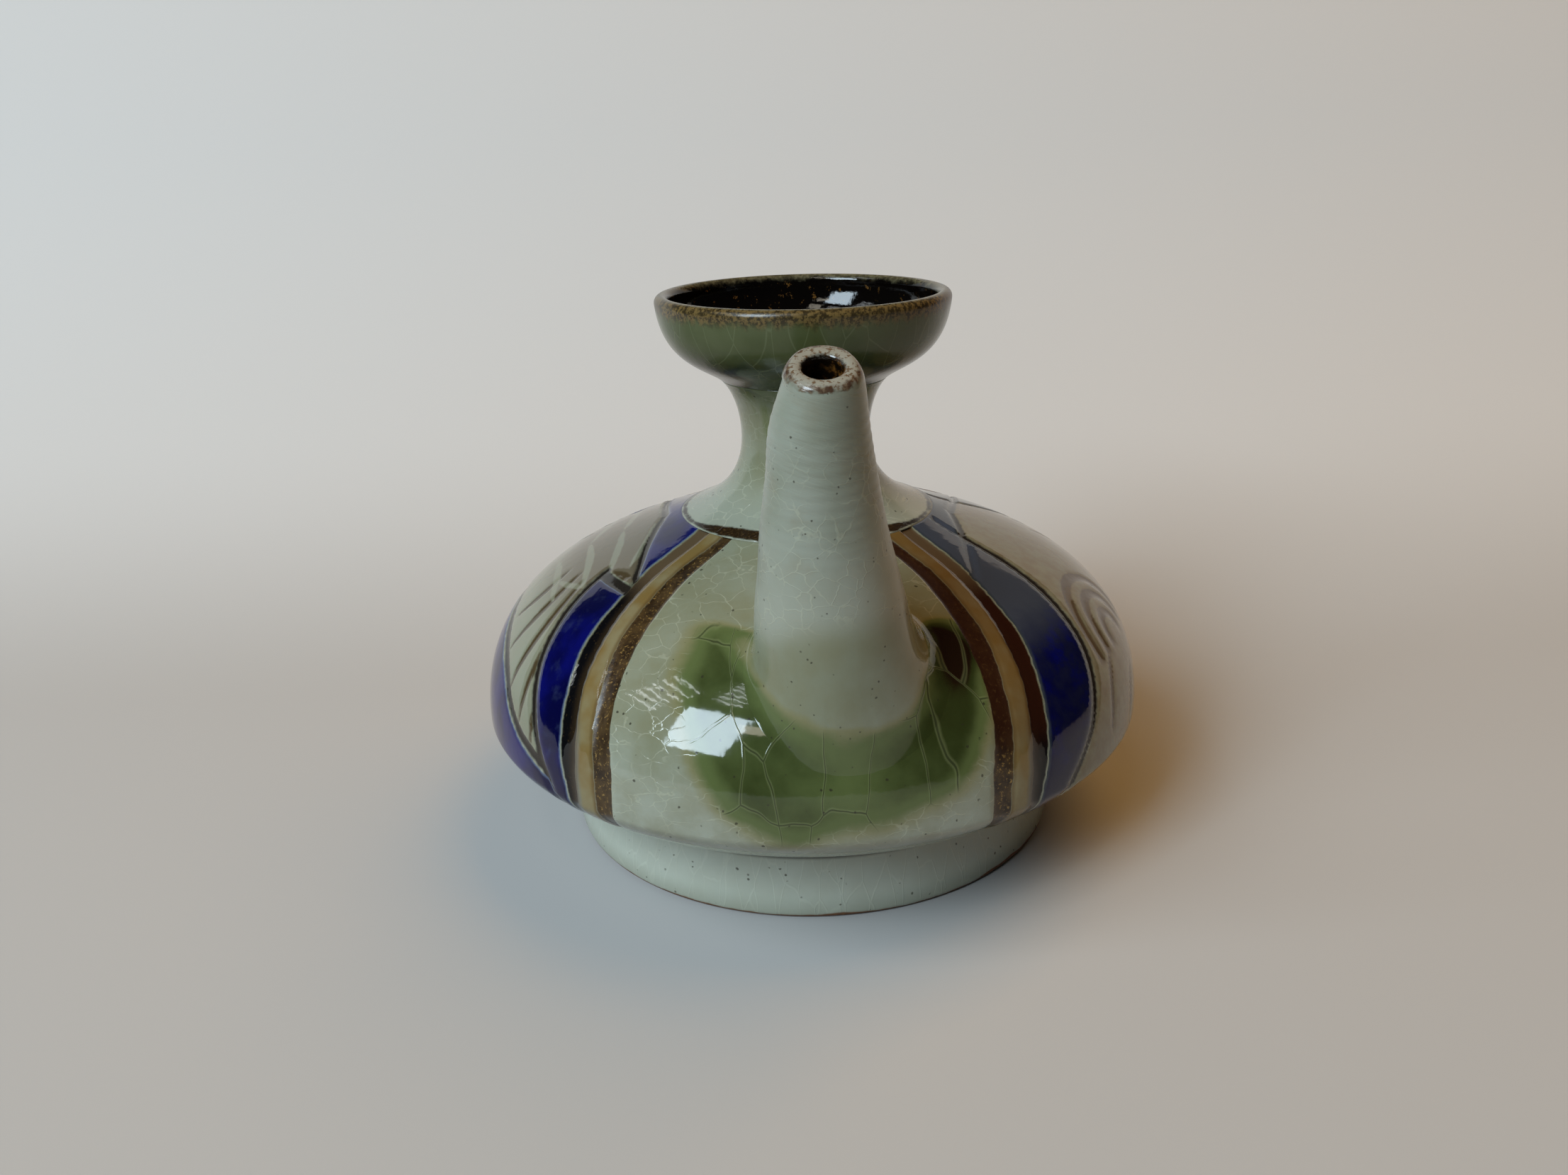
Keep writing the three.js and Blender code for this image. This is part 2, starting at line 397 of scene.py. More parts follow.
surroundings = {"light": (0.014, 0.014, 0.014, 1), "seen": (0.52, 0.52, 0.50, 1)}

for name, settings in lights.items():
    turn, up = math.radians(settings["azimuth"]), math.radians(settings["height"])
    spot = Vector((math.sin(turn) * math.cos(up), -math.cos(turn) * math.cos(up), math.sin(up)))
    bpy.ops.object.light_add(type="AREA", location=Vector((0, 0, aimHeight)) + spot * settings["away"])
    light = bpy.context.object
    light.name = name
    light.rotation_euler = spot.to_track_quat("Z", "Y").to_euler()
    light.data.shape = "RECTANGLE"
    light.data.size, light.data.size_y = settings["size"]
    light.data.energy = settings["power"]
    light.data.color = settings["tone"]
    light.visible_glossy = settings["mirrored"]

world = bpy.data.worlds.new("surroundings")
bpy.context.scene.world = world
world.use_nodes = True
tree = world.node_tree
seenDirectly = tree.nodes.new("ShaderNodeLightPath").outputs["Is Camera Ray"]
put(tree.nodes["Background"].inputs["Color"], mix(seenDirectly, surroundings["light"], surroundings["seen"]))
bpy.context.scene.view_settings.view_transform = "Standard"

# A flat sheet, swept up behind the object. It grows paler over the fade, in millimetres from the object, a
# painted brightening that stands for the light on the far paper.
backdrop = {"sheet": (1.5, 0.9), "start": 0.055, "radius": 0.35, "lean": 52, "steps": 24, "wall": 0.4,
            "tone": tone(173, 171, 168), "farTone": tone(193, 192, 190), "fade": (50, 210),
            "roughness": 0.9, "shine": 0.1}
selectNothing()
bpy.ops.mesh.primitive_plane_add(size=1, location=(0, 0, 0))
floor = bpy.context.object
floor.name = "floor"
editAll()
bpy.ops.transform.resize(value=(*backdrop["sheet"], 1))
bpy.ops.transform.translate(value=(0, backdrop["start"] - backdrop["sheet"][1] / 2, 0))
bpy.ops.object.mode_set(mode="OBJECT")
selectWhere(floor, pointsOf(floor)[:, 1] > 0)
bpy.ops.object.mode_set(mode="EDIT")
for step in range(backdrop["steps"]):   # the floor sweeps up into the backdrop
    turn = math.radians(backdrop["lean"]) * (step + 0.5) / backdrop["steps"]
    reach = backdrop["radius"] * math.radians(backdrop["lean"]) / backdrop["steps"]
    bpy.ops.mesh.extrude_region_move(TRANSFORM_OT_translate={
        "value": (0, math.cos(turn) * reach, math.sin(turn) * reach)})
turn = math.radians(backdrop["lean"])
bpy.ops.mesh.extrude_region_move(TRANSFORM_OT_translate={
    "value": (0, backdrop["wall"] * math.cos(turn), backdrop["wall"] * math.sin(turn))})
finishSmooth()
floorMaterial, tree, shader = startMaterial("paper")
depthIn = parts(place())[1]
# painted light: the paper is painted paler towards the back
paper = mix(remap(depthIn, *backdrop["fade"]), backdrop["tone"], backdrop["farTone"])
put(shader.inputs["Base Color"], paper)
shader.inputs["Roughness"].default_value = backdrop["roughness"]
shader.inputs["Specular IOR Level"].default_value = backdrop["shine"]
floor.data.materials.append(floorMaterial)
print("camera, lights and floor set")


# The glaze, which the body, the neck and the spout share

glaze = {
    "ground": tone(124, 126, 104), "groundPale": tone(150, 153, 138), "groundWarm": tone(112, 106, 74),
    "poolLight": tone(84, 94, 54), "poolDeep": tone(45, 52, 22), "poolEdge": tone(116, 110, 68),
    "poolBrown": tone(28, 16, 6),
    "line": tone(176, 176, 152), "lineDark": tone(34, 38, 20), "poolLine": tone(126, 132, 90),
    "speck": tone(46, 42, 32), "poolCrackSize": 8.5,
}


def glazeGround(at):
    up = parts(at)[2]
    drift = remap(noise(at, 26, 3), 0.35, 0.65, -0.25, 0.25)
    cloud = remap(noise(at, 7, 4, 0.6), 0.3, 0.7)
    low = plus(remap(up, 46, 24), drift, True)
    ground = mix(low, glaze["ground"], glaze["groundPale"])
    return mix(times(cloud, 0.4), ground, glaze["groundWarm"])


def glazeSpecks(at, colour, size=1.9, share=0.17):
    spots = cells(wander(at, 1.2, 0.5), size, "F1")
    some = remap(noise(at, 2.1, 1), 0.5, 0.56)
    mask = times(remap(spots, share, share * 0.55), some)
    return mix(times(mask, 0.8), colour, glaze["speck"])


def crackle(at, size, width, wobble=0.9):
    lines = cells(wander(at, size * 0.8, wobble), size)
    return remap(lines, width / size, 0)


def poolOver(at, ground, pool):
    # pool runs from 0 outside the green, past 1 where it stands deepest
    depth = plus(pool, swing(noise(at, 9, 4, 0.55), 0.7))
    edge = mix(remap(depth, -0.25, 0.2, 0, 0.65), ground, glaze["poolEdge"])
    light = mix(remap(depth, 0.05, 0.5), edge, glaze["poolLight"])
    deep = mix(remap(depth, 0.5, 1.15), light, glaze["poolDeep"])
    return mix(remap(depth, 1.1, 1.55), deep, glaze["poolBrown"]), depth


def glazeCracks(at, size, along=(1, 1, 1.7)):
    # crazing: a fine pale net that fades away in patches
    net = cells(wander(stretch(at, along), 4.2, 3.2, 3), size)
    shown = remap(noise(at, 5, 3), 0.38, 0.56, 0.15, 1)
    return times(remap(net, 0.15 / size, 0.03 / size), shown)


def poolCracks(wrap, shown):
    # long cracks that run down through the thick green glaze, and the pale edges beside them
    long = cells(wander(stretch(wrap, (1, 0.5, 1)), 8, 3.0, 2), glaze["poolCrackSize"])
    return times(remap(long, 0.011, 0.003), shown), \
        times(remap(long, 0.028, 0.010), shown)


def glossyGlaze(at):
    # roughness of the pooled, glassy glaze and its gentle waves
    return plus(times(noise(at, 5, 3), 0.08), 0.03), noise(at, 3.2, 2)


# Foot ring

footHigh = boxOf("foot_ring")[1]
bodyBelly = boxOf("body_lower")[1]
shoulderHigh = boxOf("body_upper")[1]
neckHigh = boxOf("neck")[1]
cupLow, cupHigh = boxOf("mouth_cup")

footForm = {
    "topRadius": 48, "ringWidth": 6.2, "rounding": 1.3, "columns": 360,
    "pale": tone(184, 188, 174), "line": tone(204, 206, 186), "low": tone(112, 112, 88),
    # the dark joint tone is painted shade, for the shadowed gap under the body's overhang
    "jointShade": tone(40, 34, 26), "clay": tone(128, 84, 48), "clayDark": tone(70, 44, 26),
}
footRadius, footHeight = footHigh.x, footHigh.z
footInner = footRadius - footForm["ringWidth"]
footRound = footForm["rounding"]
footOutline = [(footInner, 0.5), (footInner + 0.6, 0.0), (footRadius - footRound, 0.0)]
footOutline += curved((footRadius - footRound, 0), (footRadius - 0.4, 0.05), (footRadius, 0.5),
                      (footRadius, footRound), 6)[1:]
footOutline += curved((footRadius, footRound), (footRadius, 5), (footForm["topRadius"] - 0.3, 8),
                      (footForm["topRadius"], footHeight), 16)[1:]
footOutline += [(footInner, footHeight), (footInner, footHeight * 0.6), (footInner, 0.5)]
foot = throwOnWheel("foot", footOutline, footForm["columns"])

footMaterial, tree, shader = startMaterial("footGlaze")
at = place()
up = parts(at)[2]
ground = mix(0.6, glazeGround(at), footForm["pale"])
upright = crackle(stretch(at, (1, 1, 0.22)), 2.8, 0.13, 0.7)
colour = mix(times(upright, 0.16), ground, footForm["line"])
colour = glazeSpecks(at, colour)
reach = plus(noise(at, 5, 3), remap(noise(at, 30, 1), 0.42, 0.62, 0.1, 0.8))   # of the bare clay, upwards
bare = remap(minus(up, reach), 0.3, -0.1)
clay = mix(noise(at, 1.3, 3), footForm["clay"], footForm["clayDark"])
colour = mix(remap(up, 5, 1, 0, 0.35), colour, footForm["low"])
# painted shade: the top of the foot, up under the body's overhang, is darkened for the shadowed gap
colour = mix(remap(up, 11.0, 12.0, 0, 0.95), colour, footForm["jointShade"])
put(shader.inputs["Base Color"], mix(bare, colour, clay))
put(shader.inputs["Roughness"], plus(times(bare, 0.6), 0.2))
relief(shader, upright, 0.05, 0.5)
foot.data.materials.append(footMaterial)
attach(foot, "vessel")
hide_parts("foot_ring")
print("foot thrown")


# Body

bodyForm = {
    "undersideSlope": 18, "undersideSweep": 0.41, "undersideTuck": 0.25,
    "shoulderFullness": 0.75, "shoulderSlope": 29, "shoulderSweep": 0.32,
    "seatRadius": 25, "boreRadius": 8, "wall": 4,
    "undersideRows": 30, "shoulderRows": 82, "columns": 520,
}
bellyRadius, bellyHeight = bodyBelly.x, bodyBelly.z
seatHeight = shoulderHigh.z
shoulderRise = seatHeight - bellyHeight
undersideReach = (bellyRadius - footForm["topRadius"]) * bodyForm["undersideSweep"]
underside = bezierLine(
    (footForm["topRadius"], footHeight),
    np.array([footForm["topRadius"], footHeight]) + direction(bodyForm["undersideSlope"], undersideReach),
    (bellyRadius, bellyHeight - (bellyHeight - footHeight) * bodyForm["undersideTuck"]),
    (bellyRadius, bellyHeight), bodyForm["undersideRows"])
shoulderReach = (bellyRadius - bodyForm["seatRadius"]) * bodyForm["shoulderSweep"]
shoulder = bezierLine(
    (bellyRadius, bellyHeight),
    (bellyRadius, bellyHeight + shoulderRise * bodyForm["shoulderFullness"]),
    np.array([bodyForm["seatRadius"], seatHeight]) + direction(-bodyForm["shoulderSlope"], shoulderReach),
    (bodyForm["seatRadius"], seatHeight), bodyForm["shoulderRows"])
outerWall = np.vstack([underside, shoulder[1:]])
tangents = np.gradient(outerWall, axis=0)
tangents /= np.hypot(*tangents.T)[:, None]
thick = bodyForm["wall"]
innerWall = np.stack([outerWall[:, 0] - thick * tangents[:, 1], outerWall[:, 1] + thick * tangents[:, 0]], 1)
ceiling = innerWall[-1][1]
floorTop = footHeight + thick * math.cos(math.radians(bodyForm["undersideSlope"]))
innerLow = bezierLine(
    (footForm["topRadius"] - 1.24, floorTop),
    (footForm["topRadius"] + undersideReach * 0.95 - 1.24, floorTop + undersideReach * 0.31),
    (bellyRadius - thick, bellyHeight - (bellyHeight - footHeight) * bodyForm["undersideTuck"]),
    (bellyRadius - thick, bellyHeight), 8)
innerHigh = innerWall[bodyForm["undersideRows"]::6]
bodyOutline = [(0, footHeight), (30, footHeight)] + [tuple(p) for p in outerWall]
bodyOutline += [(bodyForm["seatRadius"] - 6, seatHeight), (bodyForm["boreRadius"], seatHeight),
                (bodyForm["boreRadius"], ceiling)]
bodyOutline += [tuple(p) for p in innerHigh[::-1]] + [tuple(p) for p in innerLow[::-1][1:]] + [(0, floorTop)]
body = throwOnWheel("body", bodyOutline, bodyForm["columns"])
print("body thrown,", len(body.data.vertices), "points")


def wallRadius(height):
    return np.interp(height, outerWall[:, 1], outerWall[:, 0])


wallAlong = lengthsAlong(outerWall)


def upWall(height):
    # how far up the outer wall a height lies, measured along the wall
    return np.interp(height, outerWall[:, 1], wallAlong)


# Where the bands on the body lie: degrees round from the spout, at these heights
bands = {
    "turned": 4.5,
    "heights": (16, 26, 34, 40, 45, 50, 55, 59, 63),
    "brownInner": (28.5, 29, 29.4, 30.8, 31.8, 32.8, 34.2, 35, 32),
    "brownOuter": (31.5, 32, 33, 34.2, 35.2, 37.2, 39, 40.5, 37.5),
    "amberOuter": (35.5, 36, 36.8, 37.8, 39.4, 41, 43.6, 46, 46),
    "darkOuter": (37.6, 38, 40.1, 41.3, 42.8, 45.2, 47.6, 51.6, 53.5),
    "wedgeOuter": (38.5, 41.5, 46, 49.3, 52.6, 56.2, 61, 65.5, 70),
    "rightWider": (1, 3, 5, 5.5, 5, 4, 2.5, 1, 0),
    "wedgeTopLeft": 55.2, "wedgeTopRight": 61,
    "upperWedge": ((38, 50, 56, 66, 82, 90), (56, 57, 58.2, 59.6, 61, 61.4)),
    "crescent": ((36, 39, 43, 47, 52, 57, 62, 69, 77, 90),
                 (25, 27.2, 28.8, 30.4, 32.4, 35.4, 38.8, 41.5, 43.4, 45)),
    "grooveDepth": 0.38,
}
# Strokes in the side fields: from (degrees, height) to (degrees, height), half width and bow in
# millimetres. Blades are pale grass leaves, and stems are the brown lines between them.
blades = (
    ((57.5, 57.2), (84, 60.4), 0.8, 0.8), ((59.5, 55.6), (90, 57.8), 0.85, 0.9),
    ((62, 53.6), (90, 55), 0.9, 1.1), ((56, 58.9), (70, 61.4), 0.8, 0.3),
    ((66, 50.5), (90, 51.5), 0.9, 1.0), ((60, 54.2), (74, 52), 0.7, -0.6),
)
stemsLeft = (
    ((60.5, 54.5), (48, 30), 0.85, -1.6), ((62.5, 54.5), (53, 33), 0.9, -2.2),
    ((66, 54.5), (59.5, 37), 0.95, -2.6), ((71, 54.5), (67, 42), 1.0, -2.4),
    ((77, 53.5), (75, 45), 1.0, -2.0), ((52.5, 56.6), (63, 55.4), 1.4, 0.2),
)
stemsRight = (((66, 42), (58, 29), 0.8, -1.2), ((75, 36), (68, 26.5), 0.8, -1.0))
ripples = {"centre": (74, 42), "radii": (4.4, 8.8, 13.2), "width": 1.15}

points = pointsOf(body)
radius = reachOf(points)
height = points[:, 2]
azimuth = azimuthOf(points)
turned = (azimuth + bands["turned"] + 180) % 360 - 180
leftSide = turned < 0
around = np.abs(turned)
inFront = around <= 90
around = np.where(around > 90, 180 - around, around)   # the back repeats the front
outer = (np.abs(radius - wallRadius(height)) < 0.3) & (height > footHeight + 0.01) \
    & (height < seatHeight + 0.01) & (radius > bodyForm["seatRadius"] - 0.1)
climb = np.interp(height, outerWall[:, 1], np.abs(tangents[:, 1]))   # height gained per length of wall


def offEdge(edge, wider=0):
    # signed distance in millimetres past a band's edge, measured square to it
    here, later = (curveThrough(bands["heights"], bands[edge], height + step) + wider for step in (0, 0.5))
    slant = np.radians(later - here) / 0.5 * climb * radius
    return np.radians(around - here) * radius / np.sqrt(1 + slant ** 2)


toBrown, toAmber, toDark, toWedge = (
    offEdge(e) for e in ("brownInner", "brownOuter", "amberOuter", "darkOuter"))
rightWider = curveThrough(bands["heights"], bands["rightWider"], height)
pastWedge = offEdge("wedgeOuter", np.where(leftSide, 0, rightWider))
climbSafe = np.maximum(climb, 0.25)
aboveUpper = (height - curveThrough(*bands["upperWedge"], around)) / climbSafe * 0.9
belowCrescent = (curveThrough(*bands["crescent"], around) - height) / climbSafe * 0.75
wedgeTop = np.where(leftSide, bands["wedgeTopLeft"], bands["wedgeTopRight"])
overTop = (height - wedgeTop) / climbSafe
lowerWedge = least(toWedge - 0.2, -pastWedge, -overTop)
upperWedge = np.minimum(toWedge - 0.2, aboveUpper)
crescent = np.where(leftSide, np.minimum(belowCrescent - 0.9, pastWedge - 0.8), -9)
blueField = most(lowerWedge, upperWedge, crescent)

folded = np.stack([radius * np.sin(np.radians(around)), -radius * np.cos(np.radians(around)), height], 1)


def onWall(degrees, level):
    turn, reach = math.radians(degrees), wallRadius(level)
    return np.array([reach * math.sin(turn), -reach * math.cos(turn), level])


def stroke(start, end, halfWidth, bow):
    # signed distance into a bowed stroke that tapers at both ends
    start, end = onWall(*start), onWall(*end)
    length = np.linalg.norm(end - start)
    lengthwise = (end - start) / length
    outward = (start + end) / 2
    sideways = np.cross(outward / np.linalg.norm(outward), lengthwise)
    sideways /= np.linalg.norm(sideways)
    share = (folded - start) @ lengthwise / length
    bent = np.clip(share, 0, 1)
    across = (folded - start) @ sideways - bow * np.sin(math.pi * bent)
    inside = halfWidth * np.sin(math.pi * bent) ** 0.5 - np.abs(across)
    return np.where((share > 0) & (share < 1), inside, np.minimum(inside, -np.abs(share - bent) * length))


def strokes(drawn):
    return np.max([stroke(*each) for each in drawn], axis=0)


fromCentre = np.linalg.norm(folded - onWall(*ripples["centre"]), axis=1)
arcs = np.min([np.abs(fromCentre - reach) for reach in ripples["radii"]], axis=0)
arcs = np.where(inFront, np.minimum(ripples["width"] - arcs, (height - ripples["centre"][1] + 1) * 0.3), -9)

sideField = least(pastWedge - 1.7, -aboveUpper - 1.4, np.where(leftSide, -belowCrescent - 1.0, 9))
overWedge = least(toWedge - 0.8, overTop - 2.6, -aboveUpper - 1.4)
sideField = np.maximum(sideField, overWedge)
wedgeLine = np.minimum(0.85 - np.abs(pastWedge - 0.85), 3.0 - overTop)
wedgeCap = np.where(leftSide, least(toWedge + 0.2, 1.6 - pastWedge, overTop + 0.2, 2.4 - overTop), -9)
upperLine = np.minimum(0.8 - np.abs(aboveUpper + 0.8), toWedge)
crescentLine = np.where(leftSide, np.minimum(0.8 - np.abs(belowCrescent + 0.1), pastWedge), -9)
lines = most(wedgeLine, upperLine, crescentLine, wedgeCap)
bladeIn = np.where(leftSide, np.minimum(strokes(blades), sideField), -9)
stemIn = np.where(leftSide | ~inFront, strokes(stemsLeft), np.maximum(strokes(stemsRight), arcs))
stemIn = np.minimum(stemIn, sideField)

keepVector(body, "bands", toBrown, toAmber, toDark)
keepVector(body, "fields", toWedge, blueField, lines)
keepVector(body, "spray", bladeIn, sideField, stemIn)
keepNumber(body, "left", leftSide)

carvedBrown = np.minimum(ease(toBrown, -0.25, 0.35), ease(-toAmber, -0.25, 0.35))
carvedDark = np.minimum(ease(toDark, -0.25, 0.35), ease(-toWedge, -0.35, 0.35))
carvedLine = ease(lines, -0.35, 0.45)
carvedField = 0.6 * ease(stemIn, -0.35, 0.5)
carved = most(carvedBrown, carvedDark, carvedLine, carvedField)
pressIn(body, "carving", bands["grooveDepth"], np.where(outer, np.clip(carved, 0, 1), 0))

# The green pool under the spout: reach of its edge from a middle, in millimetres, by direction
pool = {
    "middle": (2, 46),
    "angles": (-180, -150, -120, -90, -60, -30, 0, 20, 35, 60, 90, 120, 145, 160, 180),
    "outer": (28.5, 27.5, 27, 22, 23.5, 27, 27.5, 28, 25.5, 13, 8, 13, 28, 28.5, 28.5),
    "inner": (4, 1, -2, -4, -3, 3, 11, 15, 17, 9, -2, 9, 17.5, 10, 4),
    "strength": (0.85, 0.9, 0.85, 0.65, 0.8, 1.0, 1.35, 2.6, 2.4, 1, 1, 1, 0.95, 0.9, 0.85),
}


def poolDepth(points):
    degrees = azimuthOf(points)
    reach = reachOf(points)
    across = np.radians(degrees - pool["middle"][0]) * reach
    rise = upWall(points[:, 2]) - upWall(pool["middle"][1])
    heading = np.degrees(np.arctan2(rise, across))
    away = np.hypot(across, rise)
    outerEdge = curveThrough(pool["angles"], pool["outer"], heading)
    innerEdge = curveThrough(pool["angles"], pool["inner"], heading)
    deep = np.minimum((outerEdge - away) / 5.5, (away - innerEdge) / 9 + 0.1)
    deep = np.minimum(deep, 1 - np.maximum(reach - wallRadius(points[:, 2]), 0) * 0.2)
    strength = curveThrough(pool["angles"], pool["strength"], heading)
    deep = np.minimum(deep, 1) * np.where(deep > 0, strength, 1)
    return np.where(np.abs(degrees) < 75, np.clip(deep, -0.6, 2), -0.6)


keepNumber(body, "pool", poolDepth(points))
keepVector(body, "wrap", np.radians(azimuth) * 55, upWall(height), radius * 0)

decoration = {
    "brown": tone(68, 50, 26), "brownDark": tone(38, 25, 12), "brownGold": tone(138, 108, 58),
    "amber": tone(114, 92, 51), "amberPale": tone(124, 113, 82), "amberDark": tone(84, 62, 32),
    # brownRed and amberRed, like bluePaleRight and fieldWarm below, are darker copies for the shaded right
    # half: painted shade
    "amberCool": tone(92, 98, 96), "brownRed": tone(42, 18, 7), "amberRed": tone(92, 64, 26),
    "dark": tone(40, 30, 18), "darkBlack": tone(8, 8, 10), "darkUpper": tone(84, 68, 48),
    "blue": tone(6, 9, 82), "blueDeep": tone(3, 4, 46), "bluePale": tone(76, 88, 110),
    "bluePaleRight": tone(48, 54, 60),
    # the slate-grey tone is a painted reflection of the room on the upper right
    "blueGrey": tone(42, 50, 78), "roomReflection": tone(62, 68, 80), "line": tone(36, 31, 26),
    "fieldWash": tone(98, 88, 70), "fieldCream": tone(126, 124, 104), "fieldWarm": tone(112, 102, 80),
    # the joint tone is painted shade, for the dark line where the body tucks in over the foot
    "stem": tone(70, 58, 38), "stemWarm": tone(84, 70, 52), "jointShade": tone(54, 48, 38),
}

bodyMaterial, tree, shader = startMaterial("bodyGlaze")
at = place()
wrap = vectorOf("wrap")
ground = glazeGround(at)
base, depth = poolOver(at, ground, number("pool"))
fine = glazeCracks(at, 4.2)
inPool = remap(depth, 0.1, 0.45)
outOfPool = minus(1, inPool)
fine = times(fine, outOfPool)
base = mix(times(fine, 0.28), base, glaze["line"])
longLine, longHalo = poolCracks(wrap, inPool)
base = mix(times(longHalo, 0.28), base, glaze["poolLine"])
base = mix(times(longLine, 0.7), base, glaze["lineDark"])
base = glazeSpecks(at, base)

shake = swing(noise(at, 2.4, 3, 0.6), 0.5)
brownEdge, amberEdge, darkEdge = (plus(d, shake) for d in numbers("bands"))
wedgeEdge, blueIn, lineIn = (plus(d, shake) for d in numbers("fields"))
bladeIn, fieldIn, stemIn = (plus(d, shake) for d in numbers("spray"))
left = number("left")
right = minus(1, left)
up = parts(at)[2]
grain = noise(at, 0.55, 3, 0.7)
mottle = noise(at, 3.0, 3, 0.6)
brown = mix(remap(mottle, 0.35, 0.65), decoration["brownDark"], decoration["brown"])
brown = mix(remap(grain, 0.56, 0.66, 0, 0.8), brown, decoration["brownGold"])
amber = mix(remap(noise(at, 8, 3), 0.35, 0.65), decoration["amberPale"], decoration["amber"])
coolSide = times(remap(darkEdge, -1.6, -0.2), remap(up, 42, 34))
amber = mix(times(coolSide, 0.8), amber, decoration["amberCool"])
# painted shade: the upper right half, on the shaded side, gets darker, redder copies of the brown, amber and
# dark bands
shadedUpperRight = times(right, remap(up, 33, 39))
brown = mix(times(shadedUpperRight, 0.85), brown, decoration["brownRed"])
amber = mix(times(shadedUpperRight, 0.5), amber, decoration["amberRed"])
amberRim = remap(calc("MINIMUM", amberEdge, times(darkEdge, -1)), 0.9, 0.1)
amber = mix(times(amberRim, 0.6), amber, decoration["amberDark"])
dark = mix(remap(darkEdge, 2.4, 0.4), decoration["darkBlack"], decoration["dark"])
dark = mix(times(remap(grain, 0.6, 0.68), 0.5), dark, decoration["brown"])
dark = mix(times(shadedUpperRight, 0.9), dark, decoration["brownRed"])
dark = mix(remap(up, 54, 58), dark, decoration["darkUpper"])
blueCore = mix(remap(noise(at, 10, 3), 0.35, 0.65), decoration["blue"], decoration["blueDeep"])
slaty = times(remap(mottle, 0.5, 0.8), 0.5)
slaty = calc("MAXIMUM", slaty, remap(up, 50, 60, 0, 0.15))
blueCore = mix(slaty, blueCore, decoration["blueGrey"])
# painted shade: on the right half the blue is pushed towards its deepest tone
blueCore = mix(times(remap(mottle, 0.3, 0.6), right), blueCore, decoration["blueDeep"])
# painted reflection: a grey veil of the room's reflection laid over the upper blue on the right half
rightReflection = plus(remap(up, 46, 54), times(mottle, 0.4))
rightReflection = times(minus(rightReflection, 0.15, True), right)
blueCore = mix(rightReflection, blueCore, decoration["roomReflection"])
# the pale rim, where the blue thins at its edge, also stands for glints along that edge on the left, a
# painted highlight; on the right half it is wider and a dull dark copy, painted shade
blueRim = plus(0.45, times(right, 0.4))
blueInside = calc("DIVIDE", blueIn, blueRim)
paleRim = mix(left, decoration["bluePaleRight"], decoration["bluePale"])
blue = mix(remap(blueInside, 1.0, 0.1), blueCore, paleRim)
washed = times(remap(up, 47, 55), left)
# painted shade: the cream on the right half is a darker, warmer copy for its shaded side
creamTone = mix(left, decoration["fieldWarm"], decoration["fieldCream"])
cream = mix(remap(mottle, 0.3, 0.7, 0, 0.6), creamTone, glaze["ground"])
field = mix(washed, cream, decoration["fieldWash"])
stem = mix(left, decoration["stemWarm"], decoration["stem"])

colour = mix(remap(fieldIn, -0.2, 0.2), base, field)
colour = mix(remap(stemIn, -0.3, 0.3), colour, stem)
colour = mix(remap(bladeIn, -0.25, 0.25, 0, 0.8), colour, cream)
colour = mix(remap(lineIn, -0.25, 0.3), colour, decoration["line"])
colour = mix(remap(blueIn, -0.15, 0.15), colour, blue)
colour = mix(between(brownEdge, amberEdge, 0.15), colour, brown)
colour = mix(between(amberEdge, darkEdge, 0.15), colour, amber)
colour = mix(between(darkEdge, wedgeEdge, 0.2), colour, dark)
# painted shade: the underside of the body is darkened below its lowest visible edge, for the shadow where it
# tucks in over the foot
colour = mix(remap(up, 18.2, 16.8, 0, 0.85), colour, decoration["jointShade"])
put(shader.inputs["Base Color"], colour)
roughness, wavy = glossyGlaze(at)
roughness = plus(roughness, times(between(brownEdge, amberEdge, 0.2), 0.22))
put(shader.inputs["Roughness"], roughness)
shader.inputs["IOR"].default_value = 1.5
firstBump = relief(shader, wavy, 0.16, 0.25)
plain = remap(brownEdge, 0.1, -0.4)
relief(shader, times(plus(fine, longHalo), plain), 0.04, 0.4, firstBump)
body.data.materials.append(bodyMaterial)
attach(body, "vessel")
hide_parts("body_lower", "body_upper")
print("body carved and glazed")


# Neck

neckForm = {"waistRadius": 12.5, "waistHeight": 77.7, "topRadius": 16.2, "columns": 300,
            "green": tone(88, 98, 50), "topGreen": tone(84, 92, 60)}
neckTop = neckHigh.z
bore = bodyForm["boreRadius"]
seat = (bodyForm["seatRadius"], seatHeight)
waist = (neckForm["waistRadius"], neckForm["waistHeight"])
neckOutline = [(bore, seatHeight), (bodyForm["seatRadius"] - 3, seatHeight)]
neckOutline += curved(seat, (19.5, seatHeight + 2.1), (waist[0], seatHeight + 5.4), waist, 40)
neckOutline += curved(waist, (waist[0], 82.5), (13.9, 86.6), (neckForm["topRadius"], neckTop), 24)[1:]
neckOutline += [(bore, neckTop), (bore, 84), (bore, 75), (bore, 68), (bore, seatHeight)]
neck = throwOnWheel("neck", neckOutline, neckForm["columns"])
points = pointsOf(neck)
radius = reachOf(points)
facing = np.abs(azimuthOf(points) + bands["turned"])
facing = np.where(facing > 90, 180 - facing, facing)
ringTop = seatHeight + 0.4 + 0.85 * ease(facing, 66, 30)
keepVector(neck, "ring", np.minimum(points[:, 2] - seatHeight - 0.12, ringTop - points[:, 2]),
           ease(facing, 62, 40), radius * 0)
neckMaterial, tree, shader = startMaterial("neckGlaze")
at = place()
up = parts(at)[2]
ground = mix(remap(up, 74, 64, 0, 0.7), glazeGround(at), glaze["groundPale"])
streaks = noise(stretch(at, (1, 1, 0.16)), 4.5, 4, 0.6)
green = times(remap(streaks, 0.42, 0.66), remap(up, 68, 84))
colour = mix(times(green, 0.85), ground, neckForm["green"])
